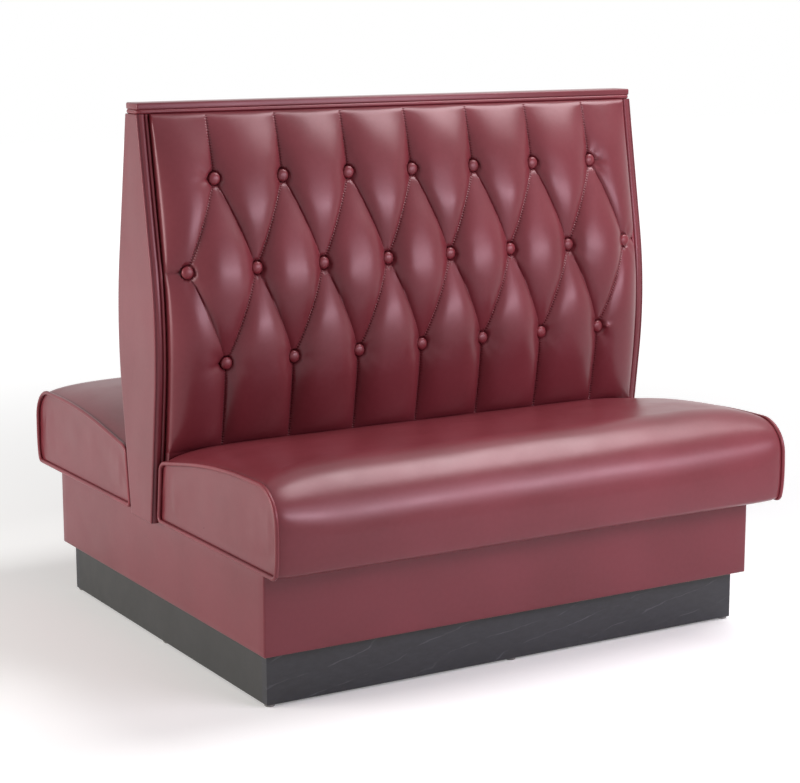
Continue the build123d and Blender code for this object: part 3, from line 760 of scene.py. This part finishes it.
def closePad(sheet, side):
    # the vinyl turns back to the board all round, and down behind the seat
    size = tuftSize
    rim = [e for e in sheet.edges if e.is_boundary]
    for edge in rim:
        edge.smooth = False
    limit = (size["rollHeight"] + 1) / 1000
    lowEdges = [e for e in rim if all(v.co.z < limit for v in e.verts)]
    made = bmesh.ops.extrude_edge_only(sheet, edges=lowEdges)["geom"]
    for vertex in made:
        if isinstance(vertex, bmesh.types.BMVert):
            vertex.co.z = size["footHeight"] / 1000
            vertex.co.y = side * (seatRearDepth(size["footHeight"]) - size["seatGap"]) / 1000
    rim = [e for e in sheet.edges if e.is_boundary]
    made = bmesh.ops.extrude_edge_only(sheet, edges=rim)["geom"]
    for vertex in made:
        if isinstance(vertex, bmesh.types.BMVert):
            vertex.co.y = side * float(depthAt(boardLine, vertex.co.z * 1000)) / 1000


buttonSize = {"radius": 12.3, "rim": 4.5, "dome": 5.5, "seat": 20.0, "folds": 12, "gather": 0.018}
buttonProfile = (  # share of the radius, share of the dome's height
    (0.0, 1.0),
    (0.3, 0.965),
    (0.55, 0.86),
    (0.75, 0.68),
    (0.88, 0.47),
    (0.96, 0.2),
    (1.0, -0.1),
    (0.985, -0.45),
    (0.9, -0.62),
)


def buttons(name, side):
    # covered buttons: vinyl drawn over a dome, gathered in small folds at the rim
    size = buttonSize
    around = 28
    points, faces = [], []
    for x, z in buttonPlaces():
        base = float(depthAt(backLine, z)) + size["seat"]
        first = len(points)
        for share, lift in buttonProfile:
            proud = side * (base + size["rim"] + size["dome"] * lift)
            gather = size["gather"] * max(0.0, share - 0.7) / 0.3
            for k in range(around):
                angle = 2 * math.pi * k / around
                radius = size["radius"] * share * (1 + gather * math.cos(size["folds"] * angle))
                points.append((x + radius * math.cos(angle), proud, z + radius * math.sin(angle)))
        faces += gridFaces(len(buttonProfile), around, first, True, side < 0)
    return makeMesh(name, points, faces, buttonMaterial)


for label, side, seed in (("front", -1, 3), ("rear", 1, 8)):
    pad = tuftedPad(f"tuftedPad.{label}", side, seed)
    dress(pad, "booth", "vinyl", f"tufted_pad_{label}")
    dress(buttons(f"tuftButtons.{label}", side), "booth", "vinyl_button", f"buttons_{label}")
print("tufted pads made")


# End panels of the back, their welts, and the cap

endSize = {
    "inner": 558.0,
    "outer": 576.0,
    "edge": 2.2,
    "belly": 0.6,
    "weltRadius": 3.5,
    "weltLow": 263.5,
    "weltHigh": 1045.0,
}
seamRings = (  # how far in from the outer face, how deep the sewn edge sinks
    (2.4, 0.0),
    (3.3, 2.2),
    (4.4, 2.2),
    (5.4, 0.0),
    (13.5, 0.0),
    (15.5, 0.6),
    (17.0, 2.0),
    (18.0, 4.0),
)


def endPanel(name, side):
    # flat upholstered board with rounded edges, wider at the bend of the back
    size = endSize
    foot, top = backLine["foot"][1], backLine["top"][1]
    step = np.array((0.0, 0.6, 2.0, 4.0))
    heights = np.concatenate([foot + step, np.linspace(foot + 8, top - 8, 48), top - step[::-1]])
    step = np.array((0.9, 0.95, 0.985, 1.0))
    shares = np.concatenate([-step[::-1], np.linspace(-0.82, 0.82, 13), step])
    depth = depthAt(backLine, heights)
    points = []
    for z, reach in zip(heights, depth):
        for share in shares:
            inward = min(reach * (1 - abs(share)), z - foot, top - z)
            bend = max(0.0, 1 - inward / size["edge"])
            drop = size["edge"] * (1 - math.sqrt(max(0.0, 1 - bend**2)))
            belly = size["belly"] * (1 - share**4) * noise.noise((z / 160, share, side))
            out = size["outer"] - drop + belly * min(1, inward / 20)
            points.append((side * out, reach * share, z))
    faces = gridFaces(len(heights), len(shares), 0, False, side < 0)
    rows, columns = len(heights), len(shares)
    ring = list(range(columns))
    ring += [i * columns + columns - 1 for i in range(1, rows)]
    ring += [(rows - 1) * columns + j for j in range(columns - 2, -1, -1)]
    ring += [i * columns for i in range(rows - 2, 0, -1)]
    # a sewn groove runs round the edge, behind the outer face
    rim = [points[k][1:] for k in ring]
    last = ring
    for inset, sink in seamRings:
        first = len(points)
        for y, z in rim:
            shrink = 1 - sink / max(abs(y), sink + 1)
            points.append((side * (size["outer"] - inset), y * shrink, z))
        for k in range(len(ring)):
            following = (k + 1) % len(ring)
            quad = [last[following], last[k], first + k, first + following]
            faces.append(quad[::-1] if side < 0 else quad)
        last = range(first, first + len(ring))
    return makeMesh(name, points, faces, vinylMaterial)


for label, side in (("left", -1), ("right", 1)):
    cover = endPanel(f"endCover.{label}", side)
    dress(cover, "booth", "vinyl", f"end_cover_{label}", f"end_board_{label}")

weltHeights = np.linspace(endSize["weltLow"], endSize["weltHigh"], 60)
weltDepths = depthAt(backLine, weltHeights) - endSize["weltRadius"]
for label, sideX, sideY in (("A", -1, -1), ("B", 1, -1), ("C", 1, 1), ("D", -1, 1)):
    x = sideX * (endSize["inner"] - endSize["weltRadius"])
    line = [(x, sideY * depth, z) for depth, z in zip(weltDepths, weltHeights)]
    welt = makeTube(f"backWelt{label}", line, endSize["weltRadius"], False, weltMaterial)
    dress(welt, "booth", "vinyl_welt", "back_welts")

capSize = {
    "halfX": 574.0,
    "halfY": 26.0,
    "low": 1054.0,
    "high": 1067.0,
    "edge": 3.0,
    "weltRadius": 4.5,
    "weltProud": 2.4,
    "weltCorner": 8.0,
    "weltHeight": 1050.4,
}


def roundedBlock(name, low, high, edge, material):
    # vinyl-wrapped board with soft edges
    sheet = bmesh.new()
    bmesh.ops.create_cube(sheet, size=1.0)
    for vertex in sheet.verts:
        for axis in range(3):
            vertex.co[axis] = (low[axis] if vertex.co[axis] < 0 else high[axis]) / 1000
    bevel = {"offset": edge / 1000, "segments": 4, "profile": 0.5, "affect": "EDGES"}
    bmesh.ops.bevel(sheet, geom=sheet.edges[:], **bevel)
    mesh = bpy.data.meshes.new(name)
    sheet.to_mesh(mesh)
    sheet.free()
    return showMesh(name, mesh, material)


low = (-capSize["halfX"], -capSize["halfY"], capSize["low"])
high = (capSize["halfX"], capSize["halfY"], capSize["high"])
capCover = roundedBlock("capCover", low, high, capSize["edge"], vinylMaterial)
dress(capCover, "booth", "vinyl", "cap_cover", "cap_board")
x = capSize["halfX"] + capSize["weltProud"] - capSize["weltRadius"]
y = capSize["halfY"] + 0.6 * capSize["weltProud"] - capSize["weltRadius"]
corners = [(-x, -y), (x, -y), (x, y), (-x, y)]
ring = roundedLine(corners, [capSize["weltCorner"]] * 4, True, 6, 40)
line = [(p[0], p[1], capSize["weltHeight"]) for p in ring]
capWelt = makeTube("capWelt", line, capSize["weltRadius"], True, weltMaterial)
dress(capWelt, "booth", "vinyl_welt", "cap_welt")
print("end panels and cap made")


# Base wrapped in vinyl

baseSize = {
    "halfX": 552.0,
    "halfY": 477.5,
    "low": 104.0,
    "high": 260.0,
    "corner": 4.0,
    "wave": 0.35,
}


def baseWrap():
    # vinyl drawn round the box and over its edges, with a faint wave in it
    size = baseSize
    x, y, low, high = size["halfX"], size["halfY"], size["low"], size["high"]
    corners = [(-x, -y), (x, -y), (x, y), (-x, y)]
    ring = roundedLine(corners, [size["corner"]] * 4, True, 5, 46)
    layers = [(2.2, low), (0.6, low + 0.4), (0.0, low + 2)]
    layers += [(0.0, z) for z in (118, 140, 165, 190, 215, 240)]
    layers += [(0.0, high - 3.5), (0.5, high - 0.8), (1.5, high), (16.0, high + 0.3)]
    sideX, sideY = x - size["corner"] - 1, y - size["corner"] - 1
    points = []
    for inset, z in layers:
        for px, py in ring:
            wave = size["wave"] * noise.noise((px / 130, py / 130, z / 110))
            scaleX = (abs(px) - inset + wave) / abs(px) if abs(px) > sideX else 1
            scaleY = (abs(py) - inset + wave) / abs(py) if abs(py) > sideY else 1
            points.append((px * scaleX, py * scaleY, z))
    faces = gridFaces(len(layers), len(ring), 0, True)
    return makeMesh("baseWrap", points, faces, vinylMaterial)


dress(baseWrap(), "booth", "vinyl", "base_vinyl")
print("base made")


# Seats: crowned cushion, puffed ends and piping

cushionSize = {
    "seam": 4.5,
    "seamReach": 12.0,
    "shoulder": 0.5,
    "shoulderPower": 5.0,
    "frontBelly": 10.0,
    "bellyPower": 0.55,
    "bellyFrom": 300.0,
    "bellyReach": 220.0,
    "ripple": 0.9,
    "endInset": 4.0,
    "endStart": 4.0,
    "endCloud": 0.8,
    "endPuff": 13.0,
    "endReach": 3.0,
    "weltReach": 6.0,
    "weltPlump": 0.7,
    "foamInset": 2.6,
    "foamShort": 9.0,
}


def seatCorners(inset, crown):
    size = seatSize
    rise = size["crown"] * crown - inset
    rearTop = seatRearDepth(size["rearHeight"] + size["crown"] * crown) + inset
    front = size["front"] + size["bulge"] * crown - inset
    return [
        (size["rearFoot"] + inset, size["bottom"] + inset),
        (rearTop, size["rearHeight"] + rise),
        (size["knee"], size["frontHeight"] + rise),
        (front, size["frontHeight"] + rise),
        (size["frontFoot"] - inset, size["bottom"] + inset),
    ]


def seatRing(inset, crown):
    # closed outline with a full belly low on the front
    size = cushionSize
    ring = roundedLine(seatCorners(inset, crown), seatRadii(inset, crown), True, 10, 12)
    height = seatSize["frontHeight"] - seatSize["bottom"]
    rise = np.clip((ring[:, 1] - seatSize["bottom"]) / height, 0, 1)
    forward = np.clip((ring[:, 0] - size["bellyFrom"]) / size["bellyReach"], 0, 1)
    ring[:, 0] += size["frontBelly"] * np.sin(math.pi * rise ** size["bellyPower"]) * forward
    return ring


def seatRadii(inset, crown):
    # the front roll is fuller where the foam crowns up
    foot, rear, knee, front, frontFoot = seatSize["radii"]
    front += seatSize["frontSoftening"] * crown
    return [foot - inset, rear - inset, knee, front - inset, frontFoot - inset]


def cushion(name, side, inset, half, material):
    # side is -1 for the front seat; the crown fades into the end seams
    size = cushionSize
    seams = [0.975, 0.985, 0.992, 0.997, 1]
    shares = np.concatenate([np.linspace(0, 0.7, 24), np.linspace(0.72, 0.96, 16), seams])
    stations = np.concatenate([-shares[::-1], shares[1:]])
    points = []
    for share in stations:
        beyond = max(0.0, (abs(share) - size["shoulder"]) / (1 - size["shoulder"]))
        crown = 1 - beyond ** size["shoulderPower"]
        pull = size["seam"] * math.exp(-(1 - abs(share)) * half / size["seamReach"])
        x = share * half
        calm = min(1.0, (1 - abs(share)) * 12)
        for depth, z in seatRing(inset + pull, crown):
            ripple = size["ripple"] * noise.noise((x / 150, depth / 90 + side * 5, z / 90))
            ripple *= calm * min(1.0, max(0.0, z - 285) / 60)  # flat under the seat
            points.append((x, side * (depth + 0.5 * ripple), z + ripple))
    rows = len(stations)
    faces = gridFaces(rows, len(points) // rows, 0, True, side > 0)
    return makeMesh(name, points, faces, material)


clothLook = {"pressure": 4.0, "frames": 20, "stiffness": 30.0, "bending": 10.0}


def inflate(piece, held, cap):
    # the sewn cover swells over its foam; cap is the furthest a point may move, in mm
    scene = bpy.context.scene
    piece.vertex_groups.new(name="held").add(held, 1.0, "REPLACE")
    cloth = piece.modifiers.new("cloth", "CLOTH")
    settings = cloth.settings
    settings.quality = 6
    settings.tension_stiffness = settings.compression_stiffness = clothLook["stiffness"]
    settings.shear_stiffness = clothLook["stiffness"] / 2
    settings.bending_stiffness = clothLook["bending"]
    settings.vertex_group_mass = "held"
    settings.use_pressure = True
    settings.uniform_pressure_force = clothLook["pressure"]
    settings.effector_weights.gravity = 0.0
    cloth.point_cache.frame_end = clothLook["frames"]
    for moment in range(1, clothLook["frames"] + 1):
        scene.frame_set(moment)
    blown = piece.evaluated_get(bpy.context.evaluated_depsgraph_get()).data
    count = len(piece.data.vertices)
    before, after = np.zeros(3 * count), np.zeros(3 * count)
    piece.data.vertices.foreach_get("co", before)
    blown.vertices.foreach_get("co", after)
    move = (after - before).reshape(-1, 3)
    far = np.maximum(np.linalg.norm(move, axis=1, keepdims=True), 1e-9)
    limit = cap / 1000
    furthest = round(float(far.max()) * 1000, 1)
    print("cloth", piece.name, "moved up to", furthest, "mm, kept within", cap)
    kept = before.reshape(-1, 3) + move / far * limit * np.tanh(far / limit)
    piece.modifiers.remove(cloth)
    piece.vertex_groups.clear()
    piece.data.vertices.foreach_set("co", kept.ravel())
    piece.data.update()
    scene.frame_set(1)


def seatEnd(name, side, end):
    # end panel inside its piping: a flat cut, blown up against its sewn rim
    size = cushionSize
    ring = seatRing(size["endInset"], 0.0)
    following = np.roll(ring, -1, axis=0)
    depths = ring[:, 0].min() + 0.05 + (np.ptp(ring[:, 0]) - 0.1) * denserEnds(97, 0.35)
    rows = denserEnds(33, 0.5)
    points = []
    for depth in depths:
        crossing = (ring[:, 0] - depth) * (following[:, 0] - depth) <= 0
        a, b = ring[crossing], following[crossing]
        width = b[:, 0] - a[:, 0]
        run = (depth - a[:, 0]) / np.where(np.abs(width) < 1e-9, 1.0, width)
        heights = a[:, 1] + run * (b[:, 1] - a[:, 1])
        fromEnds = min(1.0, (depth - depths[0]) / 60, (depths[-1] - depth) / 40)
        for row in rows:
            z = heights.min() + np.ptp(heights) * row
            inward = min(1.0, 4 * row * (1 - row)) * fromEnds
            cloud = size["endCloud"] * noise.noise((depth / 60, z / 50, 3 * end + side))
            reach = size["endReach"] + inward * (size["endStart"] + cloud)
            points.append((end * (seatSize["half"] + reach), side * depth, z))
    across, count = len(rows), len(points)
    faces = gridFaces(len(depths), across, 0, False, side * end < 0)
    panel = makeMesh(name, points, faces, vinylMaterial)
    rim = {k for k in range(count) if k % across in (0, across - 1)}
    rim |= {*range(across), *range(count - across, count)}
    inflate(panel, sorted(rim), size["endPuff"])
    return panel


for label, side in (("front", -1), ("rear", 1)):
    body = f"{label}_seat"
    half = seatSize["half"] + cushionSize["endReach"]
    cover = cushion(f"{label}Cushion", side, 0.0, half, vinylMaterial)
    dress(cover, body, "vinyl", f"{body}_cover")
    half = seatSize["half"] - cushionSize["foamShort"]
    core = cushion(f"{label}FoamCore", side, cushionSize["foamInset"], half, foamMaterial)
    dress(core, body, "foam", f"{body}_foam")
    weltRing = seatRing(seatSize["weltRadius"], 0.0)
    weltRadius = seatSize["weltRadius"] + cushionSize["weltPlump"]
    for end, endName in ((-1, "left"), (1, "right")):
        panel = seatEnd(f"{label}SeatEnd.{endName}", side, end)
        dress(panel, body, "vinyl", f"{body}_end_skins")
        x = end * (seatSize["half"] + cushionSize["weltReach"])
        line = [(x, side * depth, z) for depth, z in weltRing]
        welt = makeTube(f"{label}SeatWelt.{endName}", line, weltRadius, True, weltMaterial)
        dress(welt, body, "vinyl_welt", f"{body}_welts")
print("seats made")


# CAD nodes that stay showing


def materialFor(name):
    if name in ("plinth_front", "plinth_rear"):
        return slateMaterial
    if name in ("plinth_left", "plinth_right"):
        return slateEndMaterial
    if name == "glides":
        return nylonMaterial
    if "screws" in name:
        return steelMaterial
    if "bumpers" in name:
        return feltMaterial
    softwood = ("cleats", "blocks", "posts", "top_rail", "rail_")
    if any(word in name for word in softwood):
        return softwoodMaterial
    return plywoodMaterial


for name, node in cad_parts.items():
    node.data.materials.clear()
    node.data.materials.append(materialFor(name))
print("CAD nodes painted")


# Floor, lights and camera

stageLook = {
    "floor": "#f0f0f0",
    "floorHalf": 14.0,
    "nearGlow": 0.22,
    "farGlow": 1.0,
    "glowFrom": (1.2, 4.2),
    "skyLight": 0.21,
    "skyWhite": 1.0,
}


def backdropRays(tree):
    # 1 for rays that look at the backdrop straight or in a gloss, 0 for its light
    seen = addNode(tree, "ShaderNodeLightPath").outputs
    rays = calculate(tree, "MAXIMUM", seen["Is Camera Ray"], seen["Is Glossy Ray"])
    return calculate(tree, "MAXIMUM", rays, seen["Is Transmission Ray"])


def whiteFloor():
    # matt paper floor that keeps the shadow and glows to white further out
    look = stageLook
    half = look["floorHalf"]
    corners = [(-half, -half, 0), (half, -half, 0), (half, half, 0), (-half, half, 0)]
    mesh = bpy.data.meshes.new("studioFloor")
    mesh.from_pydata(corners, [], [(0, 1, 2, 3)])
    floor = bpy.data.objects.new("studioFloor", mesh)
    bpy.context.scene.collection.objects.link(floor)
    material = bpy.data.materials.new("paleStudioFloor")
    material.use_nodes = True
    tree = material.node_tree
    tree.nodes.clear()
    place = addNode(tree, "ShaderNodeTexCoord").outputs["Object"]
    length = addNode(tree, "ShaderNodeVectorMath", {"operation": "LENGTH"}, {0: place})
    away = length.outputs["Value"]
    strength = remap(tree, away, look["nearGlow"], look["farGlow"], look["glowFrom"])
    matte = addNode(tree, "ShaderNodeBsdfDiffuse", None, {"Color": toLinear(look["floor"])})
    white = {"Color": (1, 1, 1, 1), "Strength": strength}
    glow = addNode(tree, "ShaderNodeEmission", None, white).outputs[0]
    none = addNode(tree, "ShaderNodeEmission", None, {"Strength": 0.0}).outputs[0]
    shares = {0: backdropRays(tree), 1: none, 2: glow}
    lit = addNode(tree, "ShaderNodeMixShader", None, shares).outputs[0]
    total = addNode(tree, "ShaderNodeAddShader", None, {0: matte.outputs[0], 1: lit}).outputs[0]
    addNode(tree, "ShaderNodeOutputMaterial", None, {"Surface": total})
    mesh.materials.append(material)


def studioSky():
    # white to look at, dim as a light
    world = bpy.data.worlds.new("studioSky")
    bpy.context.scene.world = world
    world.use_nodes = True
    tree = world.node_tree
    tree.nodes.clear()
    tints = []
    for strength in (stageLook["skyLight"], stageLook["skyWhite"]):
        values = {"Color": (1, 1, 1, 1), "Strength": strength}
        tints.append(addNode(tree, "ShaderNodeBackground", None, values).outputs[0])
    shares = {0: backdropRays(tree), 1: tints[0], 2: tints[1]}
    both = addNode(tree, "ShaderNodeMixShader", None, shares).outputs[0]
    addNode(tree, "ShaderNodeOutputWorld", None, {"Surface": both})


lampPlan = {
    # name: place, aim, width and height, spin in degrees, watts, tint
    "leftSoftbox": ((-3.2, 0.5, 1.15), (-0.5, 0.0, 0.5), (1.75, 1.75), 0.0, 79.0, "#fffaf5"),
    "overheadSoftbox": ((1.28, -0.65, 2.7), (0.0, -0.53, 0.43), (1.4, 1.38), 28.0, 55.0, "#ffffff"),
    "stripSoftbox": ((0.6, -1.74, 0.95), (0.0, -0.35, 0.6), (1.5, 0.27), 0.0, 13.4, "#fbf2ff"),
    "upperStrip": ((0.62, -1.76, 1.33), (0.0, -0.35, 0.7), (1.2, 0.46), 0.0, 4.2, "#fbf2ff"),
    "lowerStrip": ((0.62, -1.72, 0.64), (0.0, -0.35, 0.6), (1.2, 0.28), 0.0, 2.0, "#fbf2ff"),
}


def softbox(name, place, aim, spread, spin, watts, tint):
    lamp = bpy.data.lights.new(name, "AREA")
    lamp.shape = "RECTANGLE"
    lamp.size, lamp.size_y = spread
    lamp.energy = watts
    lamp.color = toLinear(tint)[:3]
    box = bpy.data.objects.new(name, lamp)
    turn = (Vector(aim) - Vector(place)).to_track_quat("-Z", "Y").to_matrix()
    turn = turn @ Matrix.Rotation(math.radians(spin), 3, "Z")
    box.matrix_world = Matrix.Translation(place) @ turn.to_4x4()
    bpy.context.scene.collection.objects.link(box)


cameraPlan = {
    # solved from the photograph's corners; lens in pixels of a frame 800 wide
    "place": (-2.14702, -3.63110, 1.25679),
    "aim": (0.014126, 0.0, 0.455176),
    "roll": -0.121,
    "lensPixels": 2066.235,
    "frameWidth": 800,
    "sensor": 36.0,
}


def photoCamera():
    plan = cameraPlan
    place, aim = Vector(plan["place"]), Vector(plan["aim"])
    roll = math.radians(plan["roll"])
    back = (place - aim).normalized()
    right = Vector((0, 0, 1)).cross(back).normalized()
    up = back.cross(right)
    rolledRight = math.cos(roll) * right + math.sin(roll) * up
    rolledUp = -math.sin(roll) * right + math.cos(roll) * up
    lens = bpy.data.cameras.new("photoCamera")
    lens.sensor_fit = "HORIZONTAL"
    lens.sensor_width = plan["sensor"]
    lens.lens = plan["sensor"] * plan["lensPixels"] / plan["frameWidth"]
    lens.clip_end = 100.0
    camera = bpy.data.objects.new("photoCamera", lens)
    turn = Matrix((rolledRight, rolledUp, back)).transposed()
    camera.matrix_world = Matrix.Translation(place) @ turn.to_4x4()
    bpy.context.scene.collection.objects.link(camera)
    bpy.context.scene.camera = camera


whiteFloor()
studioSky()
for name, plan in lampPlan.items():
    softbox(name, *plan)
photoCamera()
bpy.context.scene.view_settings.view_transform = "Standard"
print("stage set")
